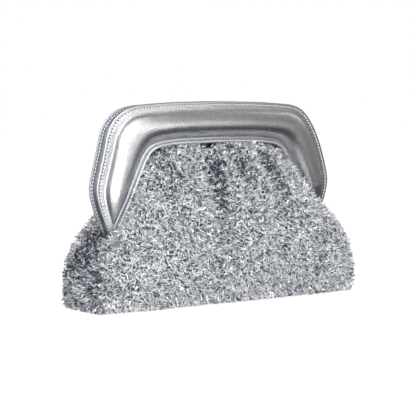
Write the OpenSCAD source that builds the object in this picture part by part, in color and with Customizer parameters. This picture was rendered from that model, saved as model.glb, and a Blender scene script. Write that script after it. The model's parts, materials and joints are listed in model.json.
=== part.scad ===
// Arch-frame evening bag: a soft pile-fabric body with a padded, leather
// covered frame in two halves that swing apart on a pin at each end.
// +X is the width, the front faces -Y, +Z is up, the origin is the centre
// of the underside.

/* [Frame] */
// Widest width of the padded frame
frame_w = 275; // [270:1:280]
// Height of the frame's top edge above the floor
frame_top = 197; // [195:1:200]
// Height of the frame's two lower tips
tip_z = 66; // [64:1:67]
// Depth of one frame half at its stitched rim
rim_depth = 8.6; // [8:0.1:9]
// How far the padded roll stands out from the rim
roll_height = 9.6; // [8:0.1:11]
// Width of the flat stitched flange outside the roll
flange_w = 8.5; // [7:0.1:10]
// Width of the flat lip inside the roll
lip_w = 6.5; // [5:0.1:8]
// Thickness of the frame's leather cover
leather_t = 1.1; // [0.9:0.1:1.3]

/* [Body] */
// Greatest width of the soft body
body_w = 306; // [302:1:310]
// Greatest depth of the soft body
body_d = 84; // [80:1:86]
// Height at which the lower walls end, under the frame tips
wall_top = 49; // [46:1:50]
// Thickness of the pile fabric with its backing
fabric_t = 3.4; // [3:0.1:4]

/* [Hinge] */
// Height of the hinge axis above the floor
hinge_z = 70; // [69:1:71]
// Radius of the hinge pins
pin_r = 1.5; // [1.3:0.1:1.7]
// Radial running clearance of the knuckles on the pin
pin_gap = 0.05; // [0.03:0.01:0.08]

/* [Hidden] */

silver_leather = [0.72, 0.74, 0.77];
lip_leather = [0.66, 0.70, 0.76];
silver_pile = [0.58, 0.60, 0.63];
gusset_pile = [0.42, 0.43, 0.46];
lining_cloth = [0.35, 0.36, 0.39];
foam = [0.93, 0.91, 0.85];
board = [0.45, 0.42, 0.38];
steel = [0.62, 0.62, 0.64];
thread = [0.88, 0.89, 0.91];

half_w = frame_w / 2;
frame_h = frame_top - tip_z;
gap = 0.15;
stations = 44;
body_half_w = body_w / 2;
body_half_d = body_d / 2;

// Outer edge of the frame from the centre of the top down to one tip:
// [sideways, up], as fractions of the half width and of the frame's height.
rim_half = [
    [0, 1], [0.32, 0.994], [0.55, 0.98], [0.68, 0.962], [0.775, 0.91], [0.86, 0.80],
    [0.925, 0.66], [0.975, 0.50], [0.998, 0.37], [0.972, 0.235], [0.925, 0.11], [0.88, 0]
];
// Inner edge of the lip, station for station with the rim.
mouth_half = [
    [0, 0.692], [0.28, 0.688], [0.43, 0.678], [0.51, 0.662], [0.565, 0.628], [0.605, 0.57],
    [0.642, 0.49], [0.686, 0.39], [0.732, 0.285], [0.785, 0.175], [0.825, 0.085], [0.845, 0.01]
];

// Catmull-Rom curve through the control points p, at u from 0 to 1.
function curve_point(p, u) =
    let (
        n = len(p) - 1,
        i = min(floor(u * n), n - 1),
        f = u * n - i,
        a = p[max(i - 1, 0)], b = p[i], c = p[i + 1], d = p[min(i + 2, n)]
    )
    0.5 * (2 * b + (c - a) * f + (2 * a - 5 * b + 4 * c - d) * f * f + (3 * b - a - 3 * c + d) * f * f * f);

// Point on an outline at t from -1 (left tip) through 0 (top) to 1 (right tip).
function outline(half, t) =
    let (q = curve_point(half, abs(t)))
    [sign(t) * q[0] * half_w, tip_z + q[1] * frame_h];

// Point on the frame's face, u of the way from the rim to the mouth edge.
function face_point(t, u) = let (a = outline(rim_half, t), b = outline(mouth_half, t)) a + (b - a) * u;
function face_width(t) = norm(outline(mouth_half, t) - outline(rim_half, t));
function flange(t) = min(flange_w, 0.5 * face_width(t));
function lip(t) = min(lip_w, 0.4 * face_width(t));
function roll(t) = face_width(t) - flange(t) - lip(t);
function swell(t) = roll_height * min(1, pow(roll(t) / 24, 0.8));
function tip_depth(t) = 1 - 0.22 * pow(max(0, (abs(t) - 0.7) / 0.3), 2);
function depth(t) = rim_depth * tip_depth(t);

// A point of a cross-section: w in from the rim along the face, v out of the parting plane.
function section_point(t, w, v) = let (q = face_point(t, w / face_width(t))) [q[0], -v, q[1]];

// Roll profile: [across, up] as fractions of the roll's width and height.
roll_profile = [[0.03, 0.12], [0.13, 0.62], [0.27, 0.88], [0.48, 1], [0.68, 0.86], [0.86, 0.48], [0.98, 0.06]];

function roll_section(t, inset) = [
    for (q = roll_profile)
        section_point(t, flange(t) + q[0] * roll(t), depth(t) + q[1] * swell(t) - inset)
];
function reversed(list) = [for (i = [len(list) - 1:-1:0]) list[i]];
function spread(t0, t1, n) = [for (i = [0:n]) t0 + (t1 - t0) * i / n];

// End faces of a ring whose outer points face its inner points in pairs, from first point k0.
function ladder(n, k0, flip) = [
    for (k = [0:n / 2 - 2])
        each [
            flip ? [k0 + k, k0 + n - 1 - k, k0 + k + 1] : [k0 + k, k0 + k + 1, k0 + n - 1 - k],
            flip ? [k0 + k + 1, k0 + n - 1 - k, k0 + n - 2 - k] : [k0 + k + 1, k0 + n - 2 - k, k0 + n - 1 - k]
        ]
];

// Skins equal closed rings of points into one solid. Its ends are flat faces, or ladders of triangles.
module ring_loft(rings, flat_ends = true) {
    n = len(rings[0]);
    last = len(rings) - 1;
    first_end = flat_ends ? [[for (i = [0:n - 1]) i]] : ladder(n, 0, false);
    last_end = flat_ends ? [[for (i = [n - 1:-1:0]) last * n + i]] : ladder(n, last * n, true);
    polyhedron(
        points = [for (ring = rings) each ring],
        faces = concat(
            first_end,
            [for (r = [0:last - 1], i = [0:n - 1])
                each [[r * n + i, (r + 1) * n + i, r * n + (i + 1) % n],
                      [(r + 1) * n + i, (r + 1) * n + (i + 1) % n, r * n + (i + 1) % n]]],
            last_end
        ),
        convexity = 6
    );
}

// Flat arch from an inset off the rim to a fraction of the face, between depths v0 and v1.
module arch_plate(inset, u1, v0, v1, reach, n) {
    ts = spread(-reach, reach, n);
    translate([0, -v0, 0])
        rotate([90, 0, 0])
            linear_extrude(v1 - v0)
                polygon(concat(
                    [for (t = ts) face_point(t, inset / face_width(t))],
                    [for (t = reversed(ts)) face_point(t, u1)]
                ));
}

module rear_half() {
    rotate([0, 0, 180]) children();
}

// ---------- frame half, modelled as the front one ----------

module cover_half() {
    color(silver_leather)
        ring_loft([for (t = spread(-1, 1, stations)) concat(
            [section_point(t, 0, depth(t)), section_point(t, flange(t) * 0.95, depth(t))],
            roll_section(t, 0),
            [section_point(t, face_width(t) - lip(t), depth(t))],
            [section_point(t, face_width(t) - lip(t), depth(t) - leather_t)],
            reversed(roll_section(t, leather_t)),
            [section_point(t, flange(t) * 0.95, depth(t) - leather_t), section_point(t, 0, depth(t) - leather_t)]
        )]);
}

module padding_half() {
    color(foam)
        ring_loft([for (t = spread(-0.8, 0.8, 32)) concat(
            [for (q = roll_section(t, leather_t + 0.6)) [q[0], min(q[1], -padding_back - 0.3), q[2]]],
            [for (q = reversed(roll_section(t, 0))) [q[0], -padding_back, q[2]]]
        )]);
}

// Places a child at a point of the face, with its axis through the frame.
module on_face(t, u, v) {
    q = face_point(t, u);
    translate([q[0], -v, q[1]]) rotate([90, 0, 0]) children();
}

padding_back = 5.4;
magnet_r = 5;
magnet_stations = [-0.28, 0, 0.28];
core_back = 2.3;
core_front = 4.6;
rivet_r = 1.2;
rivet_z = [85, 92];
rivet_x = 116.8;

module core_half() {
    color(board)
        difference() {
            arch_plate(5.2, 0.78, core_back, core_front, 0.93, 56);
            for (t = magnet_stations) on_face(t, 0.47, core_back - 1) cylinder(h = 5, r = magnet_r + 0.1, $fn = 48);
            rivet_places() cylinder(h = 6, r = rivet_r + pin_gap, $fn = 24);
        }
}

module magnets_half() {
    color(steel)
        for (t = magnet_stations) on_face(t, 0.47, core_back + 0.1) cylinder(h = 2, r = magnet_r, $fn = 48);
}

// Leather tray that closes the back of a frame half: flange layer, recessed side band, flat face.
module facing_half() {
    color(silver_leather)
        ring_loft([for (t = spread(-1, 1, stations))
            let (
                f = depth(t) - leather_t - 0.08,
                side = min(3.6, 0.42 * flange(t)),
                face_to = face_width(t) * mix(0.84, 0.94, tip_part(t)),
                relief = tip_relief(t)
            ) [
                section_point(t, 0, f),
                section_point(t, 0, f - 0.8),
                section_point(t, side, f - 0.9),
                section_point(t, side, 0.25 + relief),
                section_point(t, face_to, 0.25 + relief),
                section_point(t, face_to, 1.05 + relief),
                section_point(t, side + 0.9, 1.05 + relief),
                section_point(t, side + 0.9, f)
            ]]);
}
function mix(a, b, k) = a + (b - a) * k;
function tip_part(t) = max(0, (abs(t) - 0.85) / 0.15);
// Below the hinge axis the back leans away from the other half, to clear it as the frame opens.
function tip_relief(t) = max(0, (hinge_z + 3 - outline(rim_half, t)[1]) * 0.62);

module seam(across, out, radius) {
    color(thread)
        ring_loft([for (t = spread(-0.97, 0.97, 40))
            let (w = across == 0 ? 2.9 * flange(t) / flange_w : face_width(t) - 0.3 * lip(t))
            [for (a = [45:90:315])
                section_point(t, w + radius * cos(a), depth(t) + out + radius * sin(a))]]);
}

module rim_thread_half() {
    seam(0, 0.42, 0.4);
}

module lip_half() {
    color(lip_leather)
        ring_loft([for (t = spread(-0.97, 0.97, stations))
            let (w0 = face_width(t) - lip(t) + gap, w1 = face_width(t))
            [section_point(t, w0, depth(t) - 0.9), section_point(t, w0, depth(t) + 0.3),
             section_point(t, w1, depth(t) + 0.3), section_point(t, w1, depth(t) - 0.9)]]);
}

module lip_thread_half() {
    seam(1, 0.72, 0.4);
}

knuckle_r = 3.1;
leaf_back = 1.1;
leaf_front = 2.2;
knuckle_len = 4;
outer_knuckle_x = 109.5;
tab_knuckle_x = 105;
inner_knuckle_x = 100.5;

module rivet_places() {
    for (z = rivet_z, x = [-rivet_x, rivet_x])
        translate([x, -leaf_back + 0.5, z]) rotate([90, 0, 0]) children();
}

// Hinge leaf: a flat strap on the core that ends in a knuckle on the pin.
module leaf(side, knuckle_x) {
    x0 = knuckle_x - knuckle_len / 2;
    x1 = knuckle_x + knuckle_len / 2;
    color(steel)
        difference() {
            union() {
                translate([0, -leaf_back, 0])
                    rotate([90, 0, 0])
                        linear_extrude(leaf_front - leaf_back)
                            polygon([
                                [side * x0, hinge_z + 1], [side * x1, hinge_z + 1],
                                [side * x1, hinge_z + 5], [side * (rivet_x + 2.8), rivet_z[0] - 4],
                                [side * (rivet_x + 2.8), rivet_z[1] + 3], [side * (rivet_x - 3), rivet_z[1] + 3],
                                [side * x0, hinge_z + 9]
                            ]);
                along_x(side * knuckle_x, knuckle_len) cylinder(h = knuckle_len, r = knuckle_r, $fn = 48);
            }
            along_x(side * knuckle_x, knuckle_len + 2) cylinder(h = knuckle_len + 2, r = pin_r + pin_gap, $fn = 48);
            rivet_places() cylinder(h = 6, r = rivet_r + pin_gap, $fn = 24);
        }
}

// Puts a Z cylinder of the given length on the hinge axis, centred at x.
module along_x(x, length) {
    translate([x - length / 2, 0, hinge_z]) rotate([0, 90, 0]) children();
}

module rivets_half() {
    color(steel)
        rivet_places() {
            translate([0, 0, 0.6]) cylinder(h = core_front - leaf_back + 0.1, r = rivet_r, $fn = 24);
            translate([0, 0, core_front - leaf_back + 0.55]) cylinder(h = 0.5, r = 2, $fn = 24);
        }
}

// Upper pile panel: hangs from the lip's inner edge and swells outwards to its foot.
upper_foot_z = 73;
upper_foot_x = 112;
upper_plan_w = 140;
function bulge(s) = 1 - pow(1 - s, 2.4);
function corner(x) = pow(1 - pow(min(1, abs(x) / upper_plan_w), 5), 0.2);
function upper_point(t, s, inset) =
    let (
        a = outline(mouth_half, t),
        foot_x = sign(t) * upper_foot_x * sin(90 * min(1, pow(abs(t), 0.75))),
        x = mix(a[0] * 0.997, foot_x, s),
        z = mix(a[1] - 0.5, upper_foot_z, s),
        reach = (body_half_d + 0.6 - inset) * corner(x)
    ) [x, -mix(8.4 - inset * 0.5, reach, bulge(s)), z];

// A layer of the upper wall between two insets, along the arch and down from the lip.
module upper_layer(reach, rows, outer_inset, inner_inset) {
    ring_loft([for (t = spread(-reach, reach, 30)) concat(
        [for (s = rows) upper_point(t, s, outer_inset)],
        [for (s = reversed(rows)) upper_point(t, s, inner_inset)]
    )], flat_ends = false);
}

module upper_panel_half() {
    color(silver_pile) upper_layer(0.9, [0, 0.1, 0.22, 0.4, 0.65, 1], 0, fabric_t);
}

module upper_lining_half() {
    color(lining_cloth) upper_layer(0.88, [0, 0.1, 0.22, 0.4, 0.65, 0.84], fabric_t + 0.8, fabric_t + 2);
}

// ---------- soft body below the frame ----------

// Half width and half depth of the lower body at a height, measured to the pile's surface.
function wide(z) = body_half_w * lookup(z, [[0, 0.96], [8, 1], [28, 0.99], [49, 0.955]]);
function deep(z) = body_half_d * lookup(z, [[0, 0.88], [8, 0.975], [28, 1], [49, 0.98]]);
function plan_point(a, z, inset) =
    [for (k = [[cos(a), wide(z)], [sin(a), deep(z)]]) sign(k[0]) * pow(abs(k[0]), 0.4) * (k[1] - inset)];
function wall_point(a, z, inset) = let (q = plan_point(a, z, inset)) [q[0], q[1], z];

wall_levels = [3.02, 8, 18, 30, 42];
seam_angle = 12;
// The front and rear walls fold in at the top to a flap, which the upper panel's foot slides over.
flap_inset = 9.6;
flap_t = 2.2;
flap_h = 20;
flap_reach = 92;
function flap_rise(a) =
    let (x = abs(wall_point(a, wall_top, flap_inset)[0]))
    0.4 + (flap_h - 0.4) * min(1, max(0, (flap_reach - x) / 4));

// Lower wall between two plan angles, with its flap scaled by k, 0 for none.
module wall(a0, a1, steps, k) {
    ring_loft([for (a = spread(a0, a1, steps)) let (rise = 0.4 + k * (flap_rise(a) - 0.4)) concat(
        [for (z = wall_levels) wall_point(a, z, 0)],
        [wall_point(a, wall_top, 0.4), wall_point(a, wall_top + 1.2, flap_inset),
         wall_point(a, wall_top + 1.2 + rise, flap_inset)],
        [wall_point(a, wall_top + 1.2 + rise, flap_inset + flap_t),
         wall_point(a, wall_top - 1.2, flap_inset + flap_t), wall_point(a, wall_top - fabric_t, fabric_t)],
        [for (z = reversed(wall_levels)) wall_point(a, z, fabric_t)]
    )], flat_ends = false);
}

module front_lower_panel() {
    color(silver_pile) wall(-180 + seam_angle, -seam_angle, 36, 1);
}

module rear_lower_panel() {
    rear_half() front_lower_panel();
}

module gusset() {
    color(gusset_pile) wall(-seam_angle + 0.02, seam_angle - 0.02, 8, 0);
}

module left_gusset() {
    rear_half() gusset();
}

module right_gusset() {
    gusset();
}

module base_panel() {
    color(gusset_pile)
        linear_extrude(3)
            polygon([for (a = [0:6:354]) plan_point(a, 0, 0)]);
}

module base_board() {
    color(board)
        translate([0, 0, 3.05])
            linear_extrude(2.2)
                polygon([for (a = [0:6:354]) plan_point(a, 3, fabric_t + 1.2)]);
}

// Lining tub: closed floor, walls that lean in above the lower panels to clear the frame.
lining_t = 1.2;
lining_floor = 5.5;
neck_w = 94;
neck_d = 28.4;
// Rings of the tub: [height, how far drawn in to the neck]
lining_rings = [[lining_floor, 0], [20, 0], [40, 0], [44.4, 0.9], [47, 1], [68, 1]];
function lining_point(a, z, narrow, inset) =
    let (
        w = mix(wide(z) - fabric_t - 0.8, neck_w, narrow) - inset,
        d = mix(deep(z) - fabric_t - 0.8, neck_d, narrow) - inset
    )
    [sign(cos(a)) * pow(abs(cos(a)), 0.4) * w, sign(sin(a)) * pow(abs(sin(a)), 0.4) * d, z];

module lining() {
    angles = [0:9:351];
    color(lining_cloth)
        ring_loft(concat(
            [for (r = lining_rings) [for (a = angles) lining_point(a, r[0], r[1], 0)]],
            [for (r = reversed(lining_rings))
                [for (a = angles) lining_point(a, r[0] + (r[0] == lining_floor ? lining_t : 0), r[1], lining_t)]]
        ));
}

module slip_pocket() {
    color(lining_cloth)
        translate([-60, 24.4, 12])
            cube([120, 0.8, 36]);
}

// Leather loop from the gusset's top that holds the hinge pin.
module hinge_tab(side) {
    color(silver_leather)
        difference() {
            union() {
                along_x(side * tab_knuckle_x, knuckle_len) cylinder(h = knuckle_len, r = knuckle_r, $fn = 48);
                translate([0, 1.4, 0])
                    rotate([90, 0, 0])
                        linear_extrude(2.8)
                            polygon([
                                [side * 103, hinge_z - 1], [side * 107, hinge_z - 1],
                                [side * 107, 58], [side * 131, 51.5], [side * 131, 48.5], [side * 103, 53]
                            ]);
            }
            along_x(side * tab_knuckle_x, knuckle_len + 2) cylinder(h = knuckle_len + 2, r = pin_r + pin_gap, $fn = 48);
        }
}

module left_hinge_tab() {
    hinge_tab(-1);
}

module right_hinge_tab() {
    hinge_tab(1);
}

pin_span = 14.4;
head_t = 1;

module hinge_pin(side) {
    color(steel) {
        along_x(side * tab_knuckle_x, pin_span) cylinder(h = pin_span, r = pin_r, $fn = 48);
        for (end = [-1, 1])
            along_x(side * tab_knuckle_x + end * (pin_span + head_t) / 2, head_t)
                cylinder(h = head_t, r = 2.4, $fn = 48);
    }
}

module left_hinge_pin() {
    hinge_pin(-1);
}

module right_hinge_pin() {
    hinge_pin(1);
}

// ---------- the two frame halves ----------

module front_cover() {
    cover_half();
}

module front_padding() {
    padding_half();
}

module front_core() {
    core_half();
}

module front_facing() {
    facing_half();
}

module front_rim_thread() {
    rim_thread_half();
}

module front_lip() {
    lip_half();
}

module front_lip_thread() {
    lip_thread_half();
}

module front_magnets() {
    magnets_half();
}

module front_left_leaf() {
    leaf(-1, outer_knuckle_x);
}

module front_right_leaf() {
    leaf(1, inner_knuckle_x);
}

module front_rivets() {
    rivets_half();
}

module front_upper_panel() {
    upper_panel_half();
}

module front_upper_lining() {
    upper_lining_half();
}

module rear_cover() {
    rear_half() cover_half();
}

module rear_padding() {
    rear_half() padding_half();
}

module rear_core() {
    rear_half() core_half();
}

module rear_facing() {
    rear_half() facing_half();
}

module rear_rim_thread() {
    rear_half() rim_thread_half();
}

module rear_lip() {
    rear_half() lip_half();
}

module rear_lip_thread() {
    rear_half() lip_thread_half();
}

module rear_magnets() {
    rear_half() magnets_half();
}

module rear_left_leaf() {
    rear_half() leaf(1, inner_knuckle_x);
}

module rear_right_leaf() {
    rear_half() leaf(-1, outer_knuckle_x);
}

module rear_rivets() {
    rear_half() rivets_half();
}

module rear_upper_panel() {
    rear_half() upper_panel_half();
}

module rear_upper_lining() {
    rear_half() upper_lining_half();
}

base_panel();
base_board();
front_lower_panel();
rear_lower_panel();
left_gusset();
right_gusset();
lining();
slip_pocket();
left_hinge_tab();
right_hinge_tab();
left_hinge_pin();
right_hinge_pin();
front_cover();
front_padding();
front_core();
front_facing();
front_rim_thread();
front_lip();
front_lip_thread();
front_magnets();
front_left_leaf();
front_right_leaf();
front_rivets();
front_upper_panel();
front_upper_lining();
rear_cover();
rear_padding();
rear_core();
rear_facing();
rear_rim_thread();
rear_lip();
rear_lip_thread();
rear_magnets();
rear_left_leaf();
rear_right_leaf();
rear_rivets();
rear_upper_panel();
rear_upper_lining();
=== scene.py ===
"""Evening bag: a padded metallic leather frame on a soft body of silver tinsel pile.

Lengths are in metres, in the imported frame: +X is the bag's width, the front faces -Y, and +Z is up. Each shape
is made for the front half and turned half round for the rear one.
"""
import json
import math
import bpy
import numpy as np
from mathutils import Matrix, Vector


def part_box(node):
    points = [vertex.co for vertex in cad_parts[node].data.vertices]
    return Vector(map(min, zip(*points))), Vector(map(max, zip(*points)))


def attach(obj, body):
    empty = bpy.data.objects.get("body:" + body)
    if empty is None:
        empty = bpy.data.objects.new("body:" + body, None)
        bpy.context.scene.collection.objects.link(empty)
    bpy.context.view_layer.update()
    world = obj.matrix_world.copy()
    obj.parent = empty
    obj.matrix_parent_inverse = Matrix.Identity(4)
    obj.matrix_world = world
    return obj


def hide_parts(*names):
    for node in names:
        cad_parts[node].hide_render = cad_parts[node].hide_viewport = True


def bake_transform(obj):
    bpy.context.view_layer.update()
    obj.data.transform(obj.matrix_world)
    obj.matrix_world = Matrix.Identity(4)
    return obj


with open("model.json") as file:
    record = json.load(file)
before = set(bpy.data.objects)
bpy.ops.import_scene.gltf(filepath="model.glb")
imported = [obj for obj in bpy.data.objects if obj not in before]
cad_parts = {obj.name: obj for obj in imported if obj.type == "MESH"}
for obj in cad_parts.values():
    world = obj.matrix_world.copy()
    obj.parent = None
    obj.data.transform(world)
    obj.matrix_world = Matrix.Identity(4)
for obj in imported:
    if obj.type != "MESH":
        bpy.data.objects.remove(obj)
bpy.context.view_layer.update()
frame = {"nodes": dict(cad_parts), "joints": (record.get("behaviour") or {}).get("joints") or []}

MM = 0.001
SEED = 7

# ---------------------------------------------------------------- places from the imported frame

rim_low, rim_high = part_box("front_cover")
HALF_W = rim_high.x
TIP_Z = rim_low.z
TOP_Z = rim_high.z
BODY_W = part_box("right_gusset")[1].x
BODY_D = -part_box("front_lower_panel")[0].y
HINGE_Z = frame["joints"][0]["pos_m"][2]
MIDDLE = np.array([0, 0, HINGE_Z])

# ---------------------------------------------------------------- sizes and section of a frame half

RIM_DEPTH = 8.6 * MM
TIP_THINNING, THIN_FROM, THIN_REACH = 0.22, 0.7, 0.3
LEATHER = 1.1 * MM
FLANGE = 8.5 * MM
LIP = 6.5 * MM
ROLL = 9.6 * MM
FULL_ROLL_WIDTH = 24 * MM
STITCH_PITCH = 3.3 * MM
STITCH_SHARE = 0.64
STITCH_RADIUS, STITCH_RISE, STITCH_SINK = 0.44 * MM, 0.3 * MM, 0.05 * MM
HOLE_RADIUS, HOLE_LIFT = 0.62 * MM, 0.06 * MM

# The left shoulder of the frame: where its middle is, how far it reaches, and how far it is moved out and up.
SHOULDER_X, SHOULDER_Z = -118 * MM, 178 * MM
SHOULDER_REACH_X, SHOULDER_REACH_Z = 26 * MM, 24 * MM
SHOULDER_OUT, SHOULDER_UP = 5.6 * MM, 2.0 * MM

# Outer edge of the frame from the middle of the top to one tip, then the inner edge of its lip:
# sideways as a share of the half width, up as a share of the height above the tips.
RIM = [(0, 1), (0.32, 0.994), (0.55, 0.98), (0.68, 0.962), (0.775, 0.91), (0.86, 0.80),
       (0.925, 0.66), (0.975, 0.50), (0.998, 0.37), (0.972, 0.235), (0.925, 0.11), (0.88, 0)]
MOUTH = [(0, 0.692), (0.28, 0.688), (0.43, 0.678), (0.51, 0.662), (0.565, 0.628), (0.605, 0.57),
         (0.642, 0.49), (0.686, 0.39), (0.732, 0.285), (0.785, 0.175), (0.825, 0.085), (0.845, 0.01)]


def catmull(points, u):
    """Points on the smooth curve through points, at each u from 0 to 1."""
    p = np.asarray(points, float)
    n = len(p) - 1
    x = np.clip(np.asarray(u, float), 0, 1) * n
    i = np.minimum(x.astype(int), n - 1)
    f = (x - i)[..., None]
    a, b, c, d = p[np.maximum(i - 1, 0)], p[i], p[i + 1], p[np.minimum(i + 2, n)]
    square, cube = (2 * a - 5 * b + 4 * c - d) * f**2, (3 * b - a - 3 * c + d) * f**3
    return 0.5 * (2 * b + (c - a) * f + square + cube)


def outline(half, t):
    """Points (x, z) on an outline at t from -1, the left tip, through 0, the top, to 1."""
    t = np.asarray(t, float)
    q = catmull(half, np.abs(t))
    return np.stack([np.sign(t) * q[..., 0] * HALF_W, TIP_Z + q[..., 1] * (TOP_Z - TIP_Z)], -1)


def face_width(t):
    """Width of a frame half's face, from its rim to the mouth."""
    return np.linalg.norm(outline(MOUTH, t) - outline(RIM, t), axis=-1)


def flange(t):
    """Width of the flat stitched edge."""
    return np.minimum(FLANGE, 0.5 * face_width(t))


def lip(t):
    """Width of the lip, next to the mouth."""
    return np.minimum(LIP, 0.4 * face_width(t))


def depth(t):
    """Depth of a frame half at its rim, which thins towards the tips."""
    return RIM_DEPTH * (1 - TIP_THINNING * np.clip((np.abs(t) - THIN_FROM) / THIN_REACH, 0, 1) ** 2)


def swell(t):
    """Height of the padded roll, which is lower where it is narrow."""
    roll = face_width(t) - flange(t) - lip(t)
    return ROLL * np.minimum(1, np.maximum(roll / FULL_ROLL_WIDTH, 1e-6) ** 0.8)


def section(t, across, out):
    """Points across the face from the rim, and out of the parting plane, for the front half."""
    rim, mouth = outline(RIM, t), outline(MOUTH, t)
    share = (across / face_width(t))[..., None]
    q = rim + (mouth - rim) * share
    return np.stack([q[..., 0], -out, q[..., 1]], -1)


def roll_section(angle):
    """The padded roll's section at an angle from 0 to 180: shares of its width and of its height. The outer foot
    is steep, the crown is long and nearer the lip, and the inner side drops to the crease."""
    a = math.radians(angle)
    across = (0.5 - 0.5 * math.cos(a)) ** 0.8
    fillet = min(1, across / 0.1, (1 - across) / 0.08)
    return across, max(0.0, math.sin(a)) ** (1.12 + 0.35 * across**2) * fillet * (2 - fillet)


def even_stations(step, reach):
    """Values of t at even distances along the rim, from -reach to reach."""
    fine = np.linspace(-reach, reach, 4001)
    p = outline(RIM, fine)
    run = np.concatenate([[0], np.cumsum(np.linalg.norm(np.diff(p, axis=0), axis=1))])
    count = max(8, int(round(run[-1] / step)))
    return np.interp(np.linspace(0, run[-1], count + 1), run, fine)


# ---------------------------------------------------------------- meshes

def piece(name, verts, face_sets, materials, smooth=True, slots=None):
    """A mesh object from points and face sets, each an array with as many columns as its faces have corners."""
    mesh = bpy.data.meshes.new(name)
    verts = np.asarray(verts, float).reshape(-1, 3)
    face_sets = [np.asarray(f, dtype=np.int32) for f in face_sets]
    corners = np.concatenate([f.ravel() for f in face_sets])
    sides = np.concatenate([np.full(len(f), f.shape[1]) for f in face_sets])
    mesh.vertices.add(len(verts))
    mesh.vertices.foreach_set("co", verts.astype(np.float32).ravel())
    mesh.loops.add(len(corners))
    mesh.loops.foreach_set("vertex_index", corners)
    mesh.polygons.add(len(sides))
    mesh.polygons.foreach_set("loop_start", (np.cumsum(sides) - sides).astype(np.int32))
    mesh.polygons.foreach_set("use_smooth", np.full(len(sides), smooth))
    for m in materials:
        mesh.materials.append(m)
    if slots is not None:
        mesh.polygons.foreach_set("material_index", np.asarray(slots, dtype=np.int32))
    mesh.update(calc_edges=True)
    mesh.validate()
    obj = bpy.data.objects.new(name, mesh)
    bpy.context.scene.collection.objects.link(obj)
    return obj


def grid_faces(rows, cols, wrap_cols=False):
    """Quads of a grid of points stored row by row."""
    last = cols if wrap_cols else cols - 1
    r, c = np.meshgrid(np.arange(rows - 1), np.arange(last), indexing="ij")
    n = (c + 1) % cols
    return np.stack([r * cols + c, r * cols + n, (r + 1) * cols + n, (r + 1) * cols + c], -1).reshape(-1, 4)


def sweep(name, rings, materials):
    """Skins closed rings of points, an array (stations, points, 3), with ends closed to their middles."""
    n, k = rings.shape[:2]
    middles = rings[[0, -1]].mean(1)
    verts = np.concatenate([rings.reshape(-1, 3), middles])
    i = np.arange(k)
    j = (i + 1) % k
    first = np.stack([j, i, np.full(k, n * k)], -1)
    last = np.stack([(n - 1) * k + i, (n - 1) * k + j, np.full(k, n * k + 1)], -1)
    return piece(name, verts, [grid_faces(n, k, wrap_cols=True), first, last], materials)


def shouldered(p):
    """The frame's left shoulder is a little squarer than its right one."""
    near = np.exp(-((p[..., 0] - SHOULDER_X) / SHOULDER_REACH_X) ** 2
                  - ((p[..., 2] - SHOULDER_Z) / SHOULDER_REACH_Z) ** 2)
    q = p.copy()
    q[..., 0] -= SHOULDER_OUT * near
    q[..., 2] += SHOULDER_UP * near
    return q


def turned(points, rear):
    """The front half's points, or the same turned half round for the rear."""
    p = np.array(points, float)
    if rear:
        p[..., :2] *= -1
    return p


# ---------------------------------------------------------------- materials

def new_material(name):
    """A material with its nodes, its links and its shader."""
    m = bpy.data.materials.new(name)
    m.use_nodes = True
    return m, m.node_tree.nodes, m.node_tree.links, m.node_tree.nodes["Principled BSDF"]


def node(nodes, kind, **sockets):
    """A shader node with its inputs set by name."""
    n = nodes.new(kind)
    for key, value in sockets.items():
        n.inputs[key.replace("_", " ")].default_value = value
    return n


def ramp(nodes, stops):
    """A colour ramp through stops, which are pairs of place and colour."""
    r = nodes.new("ShaderNodeValToRGB")
    for element, (at, colour) in zip(r.color_ramp.elements, (stops[0], stops[-1])):
        element.position, element.color = at, colour
    for at, colour in stops[1:-1]:
        r.color_ramp.elements.new(at).color = colour
    return r


def grey(v, blue=0.0):
    """A grey of brightness v, cooler where blue is above 0 and warmer where it is below."""
    return (v * (1 - 0.6 * blue), v * (1 - 0.2 * blue), min(1.0, v * (1 + blue)), 1)


def bump_chain(nodes, links, heights):
    """Bump nodes in a row: heights are (socket, strength, distance)."""
    last = None
    for height, strength, distance in heights:
        b = node(nodes, "ShaderNodeBump", Strength=strength, Distance=distance)
        links.new(height, b.inputs["Height"])
        if last is not None:
            links.new(last.outputs["Normal"], b.inputs["Normal"])
        last = b
    return last.outputs["Normal"]


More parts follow.
